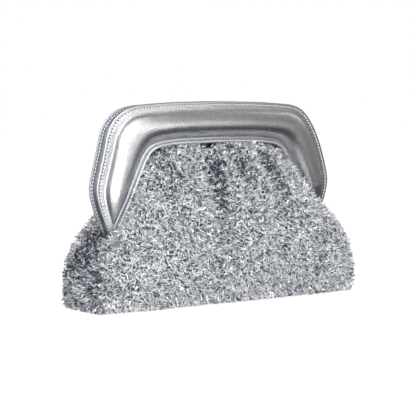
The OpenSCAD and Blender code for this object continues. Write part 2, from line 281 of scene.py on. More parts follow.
def foil_leather(name, tone, blue, rough, grain, crease):
    """Metallic foil on leather: fine specks and grain, soft creases, and uneven shine and tone."""
    m, nodes, links, bsdf = new_material(name)
    where = nodes.new("ShaderNodeTexCoord").outputs["Object"]
    cells = node(nodes, "ShaderNodeTexVoronoi", Scale=900.0)
    cells.feature = "SMOOTH_F1"
    specks = node(nodes, "ShaderNodeTexNoise", Scale=620.0, Detail=2.0, Roughness=0.7)
    pores = node(nodes, "ShaderNodeTexNoise", Scale=900.0, Detail=3.0)
    folds = node(nodes, "ShaderNodeTexNoise", Scale=160.0, Detail=4.0, Roughness=0.55, Distortion=0.8)
    clouds = node(nodes, "ShaderNodeTexNoise", Scale=28.0, Detail=3.0)
    for tex in (cells, pores, folds, clouds, specks):
        links.new(where, tex.inputs["Vector"])
    mottle = nodes.new("ShaderNodeMix")
    mottle.inputs["Factor"].default_value = 0.65
    links.new(clouds.outputs["Fac"], mottle.inputs["A"])
    links.new(specks.outputs["Fac"], mottle.inputs["B"])
    colour = ramp(nodes, [(0.36, grey(tone * 0.8, blue)), (0.6, grey(min(1, tone * 1.06), blue))])
    links.new(mottle.outputs["Result"], colour.inputs["Fac"])
    links.new(colour.outputs["Color"], bsdf.inputs["Base Color"])
    shine = node(nodes, "ShaderNodeMapRange", From_Min=0.3, From_Max=0.7,
                 To_Min=rough - 0.05, To_Max=rough + 0.07)
    links.new(pores.outputs["Fac"], shine.inputs["Value"])
    links.new(shine.outputs["Result"], bsdf.inputs["Roughness"])
    bsdf.inputs["Metallic"].default_value = 1.0
    links.new(bump_chain(nodes, links, [
        (folds.outputs["Fac"], crease, 1.2 * MM),
        (specks.outputs["Fac"], grain * 5, 0.6 * MM),
        (cells.outputs["Distance"], grain * 2, 0.3 * MM),
        (pores.outputs["Fac"], grain, 0.15 * MM),
    ]), bsdf.inputs["Normal"])
    return m


def tinsel(name, tone, blue, rough, metal):
    """One tone of the metallised film strands, plain so that the many strands need no unwrapping."""
    m, _, _, bsdf = new_material(name)
    bsdf.inputs["Base Color"].default_value = grey(tone, blue)
    bsdf.inputs["Metallic"].default_value = metal
    bsdf.inputs["Roughness"].default_value = rough
    return m


def woven(name, low, high, blue, rough, scale, metallic):
    """A woven or knitted ground: two crossed thread waves, with uneven threads."""
    m, nodes, links, bsdf = new_material(name)
    where = nodes.new("ShaderNodeTexCoord").outputs["Object"]
    waves = []
    for axis in ("X", "Z"):
        w = node(nodes, "ShaderNodeTexWave", Scale=scale, Distortion=0.4)
        w.bands_direction = axis
        links.new(where, w.inputs["Vector"])
        waves.append(w)
    both = nodes.new("ShaderNodeMath")
    both.operation = "MULTIPLY"
    links.new(waves[0].outputs["Fac"], both.inputs[0])
    links.new(waves[1].outputs["Fac"], both.inputs[1])
    uneven = node(nodes, "ShaderNodeTexNoise", Scale=260.0, Detail=4.0)
    links.new(where, uneven.inputs["Vector"])
    colour = ramp(nodes, [(0.3, grey(low, blue)), (0.75, grey(high, blue))])
    links.new(uneven.outputs["Fac"], colour.inputs["Fac"])
    links.new(colour.outputs["Color"], bsdf.inputs["Base Color"])
    bsdf.inputs["Roughness"].default_value = rough
    bsdf.inputs["Metallic"].default_value = metallic
    links.new(bump_chain(nodes, links, [
        (both.outputs["Value"], 0.5, 0.3 * MM),
        (uneven.outputs["Fac"], 0.35, 0.5 * MM),
    ]), bsdf.inputs["Normal"])
    return m


def solid_stuff(name, tone, blue, rough, scale, depth_m, metallic=0.0):
    """Foam, board or plated metal: mottled colour with a fine surface."""
    m, nodes, links, bsdf = new_material(name)
    where = nodes.new("ShaderNodeTexCoord").outputs["Object"]
    fine = node(nodes, "ShaderNodeTexNoise", Scale=scale, Detail=4.0)
    links.new(where, fine.inputs["Vector"])
    colour = ramp(nodes, [(0.35, grey(tone * 0.88, blue)), (0.65, grey(min(1, tone * 1.08), blue))])
    links.new(fine.outputs["Fac"], colour.inputs["Fac"])
    links.new(colour.outputs["Color"], bsdf.inputs["Base Color"])
    bsdf.inputs["Roughness"].default_value = rough
    bsdf.inputs["Metallic"].default_value = metallic
    links.new(bump_chain(nodes, links, [(fine.outputs["Fac"], 0.4, depth_m)]), bsdf.inputs["Normal"])
    return m


COVER = foil_leather("silver_leather", tone=0.9, blue=0.02, rough=0.31, grain=0.1, crease=0.1)
BAND = foil_leather("band_leather", tone=0.5, blue=0.08, rough=0.36, grain=0.12, crease=0.08)
LIP_LEATHER = foil_leather("lip_leather", tone=0.8, blue=0.06, rough=0.38, grain=0.12, crease=0.08)
THREAD = solid_stuff("thread", tone=0.97, blue=0.02, rough=0.5, scale=2500.0, depth_m=0.1 * MM)
HOLE = solid_stuff("needle_hole", tone=0.1, blue=0.1, rough=0.7, scale=2500.0, depth_m=0.1 * MM)
GROUND = woven("pile_ground", low=0.05, high=0.13, blue=0.06, rough=0.5, scale=700.0, metallic=0.4)
LINING = woven("lining_cloth", low=0.2, high=0.27, blue=0.05, rough=0.6, scale=1100.0, metallic=0.0)
FOAM = solid_stuff("foam", tone=0.85, blue=-0.05, rough=0.9, scale=900.0, depth_m=0.4 * MM)
BOARD = solid_stuff("board", tone=0.24, blue=-0.04, rough=0.75, scale=500.0, depth_m=0.2 * MM)
STEEL = solid_stuff("plated_steel", tone=0.6, blue=0.01, rough=0.3, scale=700.0, depth_m=0.05 * MM,
                    metallic=1.0)

# The strands' tones, from bright to dark: share of the strands, tone, blue, roughness and metallic share.
STRAND_TONES = [
    (0.26, 1.0, 0.01, 0.2, 0.8),
    (0.24, 1.0, 0.015, 0.3, 0.35),
    (0.2, 0.97, 0.03, 0.35, 0.35),
    (0.13, 0.82, 0.08, 0.4, 0.4),
    (0.1, 0.42, 0.15, 0.45, 0.6),
    (0.07, 0.1, 0.28, 0.45, 0.8),
]
TONES = [tinsel("tinsel_%d" % i, *look) for i, (_, *look) in enumerate(STRAND_TONES)]
TONE_SHARES = [row[0] for row in STRAND_TONES]


# ---------------------------------------------------------------- padded frame

def cover_rings(t):
    """Rings of the padded cover: turned edge, stitched flange, roll, and back along the inside."""
    d, f, w = depth(t), flange(t), face_width(t)
    roll_w = w - f - lip(t)
    s = swell(t)
    run = np.cumsum(np.linalg.norm(np.diff(outline(RIM, t), axis=0), axis=1))
    run = np.concatenate([[0], run])
    dimple = 0.5 + 0.5 * np.cos(2 * math.pi * run / STITCH_PITCH)  # the thread pulls the flange in at each hole
    pad = 1 + 0.012 * np.sin(run / 0.031 + 1.3) + 0.008 * np.sin(run / 0.017 + 4.0)
    points = [
        (0.25 * MM + 0 * t, d - LEATHER),
        (0 * t, d - 0.85 * LEATHER),
        (-0.15 * MM + 0 * t, d - 0.6 * LEATHER),
        (0.05 * MM + 0 * t, d - 0.3 * LEATHER),
        (0.06 * f, d - 0.12 * LEATHER),
        (0.2 * f, d),
        (0.3 * f, d - 0.16 * MM * dimple),
        (0.36 * f, d - 0.28 * MM * dimple),
        (0.44 * f, d + 0.08 * MM - 0.12 * MM * dimple),
        (0.58 * f, d + 0.26 * MM - 0.03 * MM * dimple),
        (0.78 * f, d + 0.5 * MM),
    ]
    for across, up in map(roll_section, np.linspace(0, 174, 28)):
        points.append((f + across * roll_w, d + 0.8 * MM * (1 - across) + up * (s - 0.3 * MM) * pad))
    points.append((w - lip(t) + 0.15 * MM, d - 0.6 * LEATHER))
    for across, up in map(roll_section, np.linspace(165, 15, 12)):
        points.append((f + across * roll_w, d + up * s * pad - LEATHER))
    points.append((0.6 * f, d - LEATHER))
    return np.stack([section(t, a, o) for a, o in points], 1)


def facing_rings(t):
    """The leather tray behind a cover: flange layer, recessed side band and flat inner face."""
    d, w, f = depth(t), face_width(t), flange(t)
    top = d - LEATHER - 0.05 * MM
    side = np.minimum(3.6 * MM, 0.42 * f)
    tip = np.clip((np.abs(t) - 0.85) / 0.15, 0, 1)
    inner = w * (0.84 + 0.1 * tip)
    relief = np.maximum(0, (HINGE_Z + 3 * MM - outline(RIM, t)[:, 1]) * 0.62)
    near = 0.3 * MM + relief
    points = [
        (0.05 * MM + 0 * t, top), (-0.1 * MM + 0 * t, top - 0.4 * MM), (0.2 * MM + 0 * t, top - 0.85 * MM),
        (0.5 * side, top - 0.95 * MM), (side - 0.3 * MM, top - 1.05 * MM), (side, top - 1.5 * MM),
        (side - 0.12 * MM, (top + near) * 0.5), (side, near + 0.9 * MM),
        (side + 0.3 * MM, near + 0.25 * MM), (side + 1.1 * MM, near),
        (0.5 * (side + inner), near), (inner - 1.0 * MM, near), (inner, near + 0.3 * MM),
        (inner, near + 0.8 * MM), (0.5 * (side + inner), near + 0.9 * MM),
        (side + 1.1 * MM, near + 1.0 * MM), (side + 1.0 * MM, top),
    ]
    return np.stack([section(t, a, o) for a, o in points], 1)


def lip_rings(t):
    """The narrow leather lip inside the roll, with a rolled inner edge."""
    d, w, l = depth(t), face_width(t), lip(t)
    outer = w - l + 0.3 * MM
    points = [
        (outer, d - 0.9 * MM), (outer, d - 0.1 * MM), (outer + 0.12 * l, d + 0.25 * MM),
        (outer + 0.45 * l, d + 0.35 * MM), (w - 0.36 * l, d + 0.3 * MM), (w - 0.27 * l, d + 0.1 * MM),
        (w - 0.2 * l, d + 0.3 * MM), (w - 0.1 * l, d + 0.75 * MM), (w - 0.02 * l, d + 0.8 * MM),
        (w + 0.05 * l, d + 0.3 * MM), (w + 0.02 * l, d - 0.5 * MM), (w - 0.1 * l, d - 0.9 * MM),
    ]
    return np.stack([section(t, a, o) for a, o in points], 1)


def foam_rings(t):
    """The foam roll under a cover."""
    d, f = depth(t), flange(t)
    roll_w, s = face_width(t) - f - lip(t), swell(t)
    back = 5.4 * MM
    top, base = [], []
    for across, up in map(roll_section, np.linspace(20, 160, 13)):
        high = np.maximum(d + up * s - LEATHER - 0.6 * MM, back + 0.3 * MM)
        top.append((f + across * roll_w, high))
        base.append((f + across * roll_w, back + 0 * t))
    return np.stack([section(t, a, o) for a, o in top + base[::-1]], 1)


def stitch_row(name, across, out, reach, rear):
    """Single stitches along the frame, each a short rounded thread, with a dark needle hole before it."""
    marks = even_stations(STITCH_PITCH, reach)
    sides, steps = 6, 7
    fine = np.linspace(-0.5, 0.5, steps)
    ring = np.linspace(0, 2 * math.pi, sides, endpoint=False)
    verts, faces, slots = [], [], []
    quads = grid_faces(steps, sides, wrap_cols=True)
    used = 0
    for i, mark in enumerate(marks[:-1]):
        step = marks[i + 1] - mark
        t = mark + step * (0.5 + fine * STITCH_SHARE)
        arch = 1 - (2 * fine) ** 4
        centre = section(t, across(t), out(t) + STITCH_RISE * arch - STITCH_SINK)
        wide = section(t, across(t) + 1 * MM, out(t)) - section(t, across(t), out(t))
        wide /= np.linalg.norm(wide, axis=1, keepdims=True)
        up = np.array([0, -1.0, 0])
        size = STITCH_RADIUS * (0.35 + 0.65 * (1 - (2 * np.abs(fine)) ** 3))
        body = (centre[:, None] + size[:, None, None] * (
            np.cos(ring)[None, :, None] * wide[:, None] + np.sin(ring)[None, :, None] * up))
        run = centre[-1] - centre[0]
        run /= np.linalg.norm(run)
        at = np.array([mark])
        hole = section(at, across(at), out(at) + HOLE_LIFT)[0] + HOLE_RADIUS * (
            np.cos(ring)[:, None] * wide[0] + np.sin(ring)[:, None] * run)
        faces += [quads + used, np.arange(sides)[None] + used + steps * sides]
        slots += [0] * len(quads) + [1]
        used += steps * sides + sides
        verts += [body.reshape(-1, 3), hole]
    verts = shouldered(turned(np.concatenate(verts), rear))
    return piece(name, verts, faces, [THREAD, HOLE], slots=np.array(slots))


def build_half(side):
    """All the visible pieces of one frame half."""
    rear = side == "rear"
    body = side + "_frame"

    def placed(rings):
        return shouldered(turned(rings, rear))

    cover = sweep(side + "_padded_cover", placed(cover_rings(even_stations(STITCH_PITCH / 4, 1.0))), [COVER])
    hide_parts(side + "_cover")
    facing = sweep(side + "_leather_facing", placed(facing_rings(even_stations(2.4 * MM, 1.0))), [BAND])
    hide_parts(side + "_facing")
    lip_strip = sweep(side + "_leather_lip", placed(lip_rings(even_stations(2 * MM, 0.985))), [LIP_LEATHER])
    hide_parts(side + "_lip")
    foam = sweep(side + "_foam_roll", turned(foam_rings(even_stations(4 * MM, 0.8)), rear), [FOAM])
    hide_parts(side + "_padding")
    rim_row = stitch_row(side + "_rim_stitches", lambda t: 0.36 * flange(t), lambda t: depth(t) - 0.1 * MM,
                         0.97, rear)
    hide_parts(side + "_rim_thread")
    back_row = stitch_row(side + "_rim_stitches_back", lambda t: 0.3 * flange(t),
                          lambda t: depth(t) - LEATHER - 1.3 * MM, 0.93, rear)
    lip_row = stitch_row(side + "_lip_stitches", lambda t: face_width(t) - 0.27 * lip(t),
                         lambda t: depth(t) + 0.15 * MM, 0.95, rear)
    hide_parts(side + "_lip_thread")
    for obj, slot in ((cover, "silver_leather"), (facing, "silver_leather"),
                      (lip_strip, "lip_leather"), (foam, "foam"),
                      (rim_row, "thread"), (back_row, "thread"), (lip_row, "thread")):
        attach(obj, body)


# ---------------------------------------------------------------- soft body

def smooth_noise(p, scale, seed):
    """Seven soft random waves added up at points p, between about -1 and 1."""
    rng = np.random.default_rng(seed)
    total = np.zeros(p.shape[:-1])
    for _ in range(7):
        k = rng.normal(size=3)
        k *= 2 * math.pi / scale / np.linalg.norm(k) * rng.uniform(0.7, 1.4)
        total += np.sin(p @ k + rng.uniform(0, 2 * math.pi))
    return total / 3.2


def level(z, table):
    """A smooth value at height z from (height in mm, share) pairs."""
    h = np.array([a for a, _ in table]) * MM
    v = np.array([b for _, b in table])
    fine = np.linspace(h[0], h[-1], 200)
    rough = np.interp(fine, h, v)
    kernel = np.hanning(13)
    soft = np.convolve(np.pad(rough, 6, mode="edge"), kernel / kernel.sum(), mode="valid")
    return np.interp(z, fine, soft)


# Shares of the body's half width and half depth, by height in mm.
WIDE = [(0, 0.985), (5, 0.993), (14, 1.0), (28, 0.985), (49, 0.945), (66, 0.885), (86, 0.81), (200, 0.6)]
DEEP = [(0, 0.86), (5, 0.94), (16, 1.0), (40, 1.02), (60, 1.03), (80, 1.02), (105, 0.93), (135, 0.72), (200, 0.5)]
SEAM_SHARE = 0.96
SPREAD = 45 * MM
LIP_BACK = 7.6 * MM
SKIN_FOOT, SKIN_DROP = 1.2 * MM, 1.8 * MM
LOWEST = 0.6 * MM

# The right end bulges below SLACK_TOP: by how much in mm everywhere, how much more at the shoulder, and where.
SLACK_TOP, SLACK_FADE = 102 * MM, 16 * MM
BULGE, SHOULDER_BULGE = 5.5, 3.5
BULGE_Z, BULGE_REACH = 70 * MM, 22 * MM

# Pleats that fall from the lip: place as a share of the half width, sideways lean for each unit down, and half
# width, depth and reach in mm. They start PLEAT_START below the lip, and their pile is painted in shade with
# darker strands, fully from PLEAT_SHADE deep.
PLEATS = [
    (-0.105, -0.02, 8.0, 8.5, 70),
    (0.29, 0.3, 7.0, 10.0, 36),
    (-0.42, -0.2, 7.0, 4.0, 40),
    (0.09, 0.05, 8.0, 3.5, 50),
]
PLEAT_START = 12 * MM
PLEAT_SHADE = 6.5 * MM


def plan_depth(x, z):
    """Depth of the body's rounded plan at a place across and a height."""
    share = np.clip(np.abs(x) / (BODY_W * level(z, WIDE)), 0, 0.9995)
    return BODY_D * level(z, DEEP) * (1 - share**8) ** 0.125


def front_skin(t, s, inset=0.0, folds=1.0):
    """The front fabric: t along the arch, s from 0 at the lip down to 1 at the base. It billows out to the
    sides below the lip, most at the ends, where its shoulders spread past the frame's tips. A larger folds makes
    the pleats wider, as in the lining, and 0 leaves all folds out."""
    mouth = outline(MOUTH, t)
    base_x = np.sign(t) * BODY_W * SEAM_SHARE * np.sin(0.5 * math.pi * np.abs(t) ** 0.9)
    power = 2 / (1.6 + 2.4 * np.abs(t) ** 6)
    turn = 0.5 * math.pi * np.clip(s, 0, 1)
    x = mouth[..., 0] * 0.995 + (base_x - mouth[..., 0]) * np.sin(turn) ** power
    z = SKIN_FOOT + (mouth[..., 1] - SKIN_DROP) * np.maximum(np.cos(turn), 0) ** power
    down = np.hypot(x - mouth[..., 0], z - mouth[..., 1])
    spread = 1 - (1 - np.clip(down / SPREAD, 0, 1)) ** 2.3
    y = LIP_BACK + (plan_depth(x, z) - LIP_BACK) * spread
    p = np.stack([x, -y, z], -1)
    slack = np.clip(x / BODY_W, 0, 1) * np.clip((SLACK_TOP - z) / SLACK_FADE, 0, 1)
    p[..., 0] += (BULGE + SHOULDER_BULGE * np.exp(-((z - BULGE_Z) / BULGE_REACH) ** 2)) * MM * slack
    if folds:
        free = np.clip(down / (14 * MM), 0, 1) * np.clip((1 - s) / 0.12, 0, 1)
        p[..., 1] += free * 1.9 * MM * smooth_noise(p * [1, 0.3, 1], 62 * MM, 3)
        p[..., 1] += free * 1.0 * MM * smooth_noise(p * [1, 0.3, 1], 27 * MM, 5)
        near = np.exp(-down / (26 * MM)) * np.clip(down / (13 * MM), 0, 1)
        p[..., 1] += near * 1.9 * MM * np.sin(t * 46 + 1.1 * np.sin(t * 11)) * (np.abs(t) < 0.8)
        valley, bank = pleats(x, down, folds)
        p[..., 1] += valley - bank
    if inset:
        p = shrink(p, inset)
    return p


def pleats(x, down, widen=1.0):
    """Depth of the pleats' valleys, and height of the banks beside them, at places across and down."""
    valley, bank = np.zeros_like(x), np.zeros_like(x)
    for place, lean, wide, deep, reach in PLEATS:
        off = np.abs(x - place * BODY_W - lean * down) / (wide * widen * MM)
        fade = np.clip(down / PLEAT_START, 0, 1) ** 1.4 * np.exp(-((down / (reach * MM)) ** 2)) * deep * MM
        valley += np.exp(-(off**2)) * fade
        bank += np.exp(-((off - 2.2) ** 2)) * fade * 0.2
    return valley, bank


def outward_normals(g):
    """Normals of a grid of points that face away from the bag's middle."""
    n = np.cross(np.gradient(g, axis=1), np.gradient(g, axis=0))
    n /= np.maximum(np.linalg.norm(n, axis=-1, keepdims=True), 1e-12)
    return n * np.sign((n * (g - MIDDLE)).sum(-1, keepdims=True))


def shrink(p, inset):
    """Points moved inwards by inset, towards the bag's middle."""
    q = p - outward_normals(p) * inset
    q[..., 2] = np.maximum(q[..., 2], LOWEST)
    return q


def skin_places(rows, cols):
    """Values of t and s for a grid of the front fabric, closer together at the ends and at the lip."""
    t = np.sin(np.linspace(-1, 1, cols) * math.pi / 2) * 0.35 + np.linspace(-1, 1, cols) * 0.65
    return np.meshgrid(t, np.linspace(0, 1, rows) ** 1.15)


CLOTH_ROWS, CLOTH_COLS, CLOTH_FRAMES, HELD_BORDER = 56, 97, 20, 2
SAG_CAP = 3 * MM


def settle():
    """How far each point of the front fabric moves when a short cloth simulation lets it sag and buckle with a
    few percent of spare cloth. It is held at the lip, the side seams and the base, and moves no further than
    SAG_CAP."""
    rows, cols = CLOTH_ROWS, CLOTH_COLS
    start = front_skin(*skin_places(rows, cols))
    obj = piece("settling_cloth", start, [grid_faces(rows, cols)], [])
    held = obj.vertex_groups.new(name="held")
    index = np.arange(rows * cols).reshape(rows, cols)
    inner = index[HELD_BORDER:-HELD_BORDER, HELD_BORDER:-HELD_BORDER]
    held.add(np.setdiff1d(index, inner).tolist(), 1.0, "REPLACE")
    cloth = obj.modifiers.new("cloth", "CLOTH")
    cloth.settings.quality = 6
    cloth.settings.mass = 0.003
    cloth.settings.tension_stiffness = cloth.settings.compression_stiffness = 12
    cloth.settings.shear_stiffness = 4
    cloth.settings.bending_stiffness = 0.12
    cloth.settings.shrink_min = -0.03
    cloth.settings.use_pressure = True
    cloth.settings.uniform_pressure_force = -2
    cloth.settings.vertex_group_mass = "held"
    cloth.collision_settings.use_collision = False
    cloth.collision_settings.use_self_collision = False
    cloth.point_cache.frame_start, cloth.point_cache.frame_end = 1, CLOTH_FRAMES
    scene = bpy.context.scene
    for frame_number in range(1, CLOTH_FRAMES + 1):
        scene.frame_set(frame_number)
    settled = obj.evaluated_get(bpy.context.evaluated_depsgraph_get()).data
    found = np.empty(rows * cols * 3, np.float32)
    settled.vertices.foreach_get("co", found)
    moved = found.reshape(rows, cols, 3).astype(float) - start
    scene.frame_set(1)
    bpy.data.objects.remove(obj)
    far = np.linalg.norm(moved, axis=-1, keepdims=True)
    return moved * np.tanh(far / SAG_CAP) * SAG_CAP / np.maximum(far, 1e-9)


def resample(grid, rows, cols):
    """A grid of values at another number of rows and columns."""
    r, c = np.linspace(0, grid.shape[0] - 1, rows), np.linspace(0, grid.shape[1] - 1, cols)
    i, j = np.minimum(r.astype(int), grid.shape[0] - 2), np.minimum(c.astype(int), grid.shape[1] - 2)
    u, v = (r - i)[:, None, None], (c - j)[None, :, None]
    upper = grid[i][:, j] * (1 - v) + grid[i][:, j + 1] * v
    lower = grid[i + 1][:, j] * (1 - v) + grid[i + 1][:, j + 1] * v
    return upper * (1 - u) + lower * u


def skin_grid(rows, cols, rear, inset, sag, folds=1.0):
    """The front or rear fabric, settled, as a grid that lies inset from the body's outside."""
    grid = front_skin(*skin_places(rows, cols), inset, folds) + resample(sag, rows, cols)
    grid[..., 2] = np.maximum(grid[..., 2], LOWEST)
    return turned(grid, rear)


def skin_shade(grid, rear):
    """How deep each point of a skin grid lies in a pleat, from 0 to 1, as painted shade: the pile there gets
    darker strands in place of the pleat's shadow.
    """
    p = turned(grid, rear)
    valley, _ = pleats(p[..., 0], np.hypot(p[..., 0] - p[:1, :, 0], p[..., 2] - p[:1, :, 2]))
    return np.clip(valley / PLEAT_SHADE, 0, 1)


# How far the middle of an end panel stands out, and how deep the crease down its middle is, by height in mm.
GUSSET_OUT = np.array([(0, 2), (6, 6), (30, 3), (50, -5), (61, -7), (67, 0)]).T
GUSSET_CREASE = np.array([(20, 0), (45, 3), (66, 2)]).T
CREASE_WIDTH = 0.16


def gusset_grid(rows, cols, left, inset):
    """The end panel between the front and rear seams, drawn in between the frame's tips."""
    s = np.linspace(0, 1, rows) ** 1.15
    front = front_skin(np.ones(rows), s, folds=0)
    rear = turned(front_skin(-np.ones(rows), s, folds=0), True)
    q = np.linspace(-1, 1, cols)
    z = front[:, 2]
    mix = (0.5 - 0.5 * q)[None, :, None]
    g = rear[:, None] * mix + front[:, None] * (1 - mix)
    free = (1 - q**2)[None]
    g[..., 0] += np.interp(z, *(GUSSET_OUT * MM))[:, None] * free
    g[..., 0] -= np.exp(-(q[None] / CREASE_WIDTH) ** 2) * np.interp(z, *(GUSSET_CREASE * MM))[:, None]
    g[..., 0] += 1.0 * MM * smooth_noise(g, 30 * MM, 11) * free * np.clip((1 - s) / 0.12, 0, 1)[:, None]
    return turned(shrink(g, inset), left)


def sheet_piece(name, grid, material, thick):
    """A sheet of cloth with real thickness, from the grid of points on its outer face."""
    rows, cols = grid.shape[:2]
    back = grid - outward_normals(grid) * thick
    faces = grid_faces(rows, cols)
    edge = np.concatenate([
        np.arange(cols), np.arange(1, rows) * cols + cols - 1,
        np.arange(cols - 2, -1, -1) + (rows - 1) * cols, np.arange(rows - 2, 0, -1) * cols])
    after = np.roll(edge, -1)
    far = rows * cols
    rim = np.stack([edge, after, after + far, edge + far], -1)
    verts = np.concatenate([grid, back]).reshape(-1, 3)
    return piece(name, verts, [faces, faces[:, ::-1] + far, rim], [material])


def cell_areas(grid):
    """Area of each cell of a grid."""
    return np.linalg.norm(np.cross(grid[1:, :-1] - grid[:-1, :-1], grid[:-1, 1:] - grid[:-1, :-1]), axis=-1)


# Strands of the pile: their length, how steeply they rise in radians, and how far they hang down.
PILE_LENGTH = (4.2 * MM, 7.6 * MM)
PILE_RISE = (0.15, 1.25)
PILE_DROOP = 0.35
STRAND_HALF_WIDTH = 0.5 * MM
ROOT_DEPTH = 0.6 * MM
STRAND_LOWEST = 0.4 * MM

# Some strands stand proud: which share, how much steeper and how much longer.
PROUD_SHARE, PROUD_RISE, PROUD_LENGTH = 0.14, 0.25, 0.3

# Next to the lip the strands are pressed down and combed away from it, over a share of the rows.
PRESS_REACH, PRESS_COMB, PRESS_RISE, PRESS_LENGTH = 0.036, 2.2, 0.9, 0.3


def strands(name, grid, count, seed, shade):
    """Bent film strands rooted all over a grid but for its first row, which the lip or the frame covers. Each is
    a narrow ribbon of three quads. shade is the share of darker strands at each point of the grid, a painted
    shade that darkens the pile where shadow falls."""
    rng = np.random.default_rng(seed)
    rows, cols = grid.shape[:2]
    area = cell_areas(grid)
    area[0] = 0
    area = area.ravel()
    cell = rng.choice(len(area), count, p=area / area.sum())
    r, c = np.divmod(cell, cols - 1)
    u, v = rng.random((2, count))[..., None]
    root = ((grid[r, c] * (1 - u) + grid[r, c + 1] * u) * (1 - v)
            + (grid[r + 1, c] * (1 - u) + grid[r + 1, c + 1] * u) * v)
    n = outward_normals(grid)[r, c]
    any_way = rng.normal(size=(count, 3))
    along = np.cross(n, any_way)
    along /= np.linalg.norm(along, axis=1, keepdims=True)
    along[:, 2] -= PILE_DROOP
    away = grid[r + 1, c] - grid[r, c]
    away /= np.linalg.norm(away, axis=1, keepdims=True)
    pressed = np.exp(-r / (PRESS_REACH * rows))[:, None]
    along += away * PRESS_COMB * pressed
    along -= n * (along * n).sum(-1, keepdims=True)
    along /= np.linalg.norm(along, axis=1, keepdims=True)
    proud = rng.random((count, 1)) < PROUD_SHARE
    lift = (rng.uniform(*PILE_RISE, size=(count, 1)) + PROUD_RISE * proud) * (1 - PRESS_RISE * pressed)
    bend = rng.normal(0, 0.55, size=(count, 1)) - 0.45
    size = rng.uniform(*PILE_LENGTH, size=(count, 1)) * (1 + PROUD_LENGTH * proud)
    size = size * (1 - PRESS_LENGTH * pressed) / 3
    width = rng.uniform(0.55, 1.0, size=(count, 1)) * STRAND_HALF_WIDTH
    side = np.cross(n, along)
    roll = rng.normal(0, 0.8, size=(count, 1))
    twist = rng.normal(0, 0.5, size=(count, 1))
    swerve = rng.normal(0, 0.45, size=(count, 1))
    points = [root - n * ROOT_DEPTH]
    ways = []
    for k in range(3):
        angle = np.clip(lift + bend * k * 0.6, -0.25, 1.45)
        turn = swerve * k
        flat = along * np.cos(turn) + side * np.sin(turn)
        way = flat * np.cos(angle) + n * np.sin(angle)
        ways.append(way)
        points.append(points[-1] + way * size)
    ways.append(ways[-1])
    verts = []
    for k in range(4):
        across = np.cross(ways[k], n)
        across /= np.maximum(np.linalg.norm(across, axis=1, keepdims=True), 1e-9)
        upright = np.cross(across, ways[k])
        turn = roll + twist * k
        across = across * np.cos(turn) + upright * np.sin(turn)
        taper = 0.55 if k == 3 else 1.0
        verts += [points[k] - across * width * taper, points[k] + across * width * taper]
    verts = np.stack(verts, 1)
    verts[..., 2] = np.maximum(verts[..., 2], STRAND_LOWEST)
    quads = np.array([[0, 1, 3, 2], [2, 3, 5, 4], [4, 5, 7, 6]])
    faces = (np.arange(count)[:, None, None] * 8 + quads[None]).reshape(-1, 4)
    tone = rng.choice(len(TONES), count, p=TONE_SHARES)
    # Painted shade: with a chance set by shade at its root, a strand takes a tone two to four steps darker.
    tone = np.minimum(tone + (rng.random(count) < shade[r, c]) * rng.integers(2, 5, count), len(TONES) - 1)
    return piece(name, verts.reshape(-1, 3), [faces], TONES, smooth=False, slots=np.repeat(tone, 3))


# How far the ground cloth and the lining lie inside the body's outside, and where their tops are tucked.
PILE_INSET = 3.4 * MM
LINING_INSET = PILE_INSET + 4.4 * MM
GROUND_OUT, LINING_OUT, TUCK_UP = 7.4 * MM, 6.2 * MM, 4.5 * MM
GROUND_THICK, LINING_THICK = 0.9 * MM, 0.5 * MM
LINING_FOLDS = 1.9
FRONT_STRANDS, END_STRANDS = ((33000, 6000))


def tuck(grid, out):
    """The grid with its top edge drawn out to the back of the lip and up behind it."""
    up = grid[0] - grid[3]
    up[:, 1] = 0
    grid[0] += up / np.linalg.norm(up, axis=-1, keepdims=True) * TUCK_UP
    grid[0, :, 1] = np.sign(grid[0, :, 1]) * out
    grid[1, :, 1] = 0.5 * (grid[1, :, 1] + np.sign(grid[1, :, 1]) * np.maximum(np.abs(grid[1, :, 1]), out))
    return grid


def build_walls():
    """The front and rear fabric, its pile and its lining, between the body and the frame halves."""
    sag = settle()
    for side in ("front", "rear"):
        rear = side == "rear"
        skin = tuck(skin_grid(70, 121, rear, PILE_INSET, sag), GROUND_OUT)
        ground = sheet_piece(side + "_pile_ground", skin, GROUND, GROUND_THICK)
        pile = strands(side + "_pile", skin, FRONT_STRANDS, SEED + rear, skin_shade(skin, rear))
        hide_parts(side + "_lower_panel", side + "_upper_panel")
        lining = tuck(skin_grid(48, 81, rear, LINING_INSET, sag, LINING_FOLDS), LINING_OUT)
        lining_sheet = sheet_piece(side + "_lining", lining, LINING, LINING_THICK)
        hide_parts(side + "_upper_lining")
        for obj, slot in ((ground, "pile_fabric"), (pile, "pile_fabric"), (lining_sheet, "lining_cloth")):
            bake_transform(obj)


# The end panels' pile is painted in shade with more darker strands than the walls', most of all at its top, in
# the shade of the frame.
GUSSET_SHADE, GUSSET_TOP_SHADE, GUSSET_TOP = 0.35, 0.6, 75 * MM


def build_gussets():
    """The two end panels with their pile."""
    for side in ("left", "right"):
        left = side == "left"
        skin = gusset_grid(40, 33, left, PILE_INSET)
        ground = sheet_piece(side + "_gusset_ground", skin, GROUND, GROUND_THICK)
        # Painted shade: darker strands everywhere on the end panels, more towards the top.
        shade = GUSSET_SHADE + GUSSET_TOP_SHADE * np.clip(skin[..., 2] / GUSSET_TOP, 0, 1)
        pile = strands(side + "_gusset_pile", skin, END_STRANDS, SEED + 10 + left, shade)
        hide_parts(side + "_gusset")
        for obj in (ground, pile):
            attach(obj, "bag_body")


# The underside stays inside the walls' lower edge, and the lining's floor inside the underside.
BASE_ROWS, BASE_COLS = 25, 61
BASE_SHARES = (0.976, 0.92)
FLOOR_SHARES = np.array([0.99, 0.97, 1]), np.array([0.96, 0.9, 1])
BASE_Z, BASE_THICK = 1.5 * MM, 2.6 * MM
FLOOR_Z, FLOOR_THICK = 8 * MM, 0.6 * MM


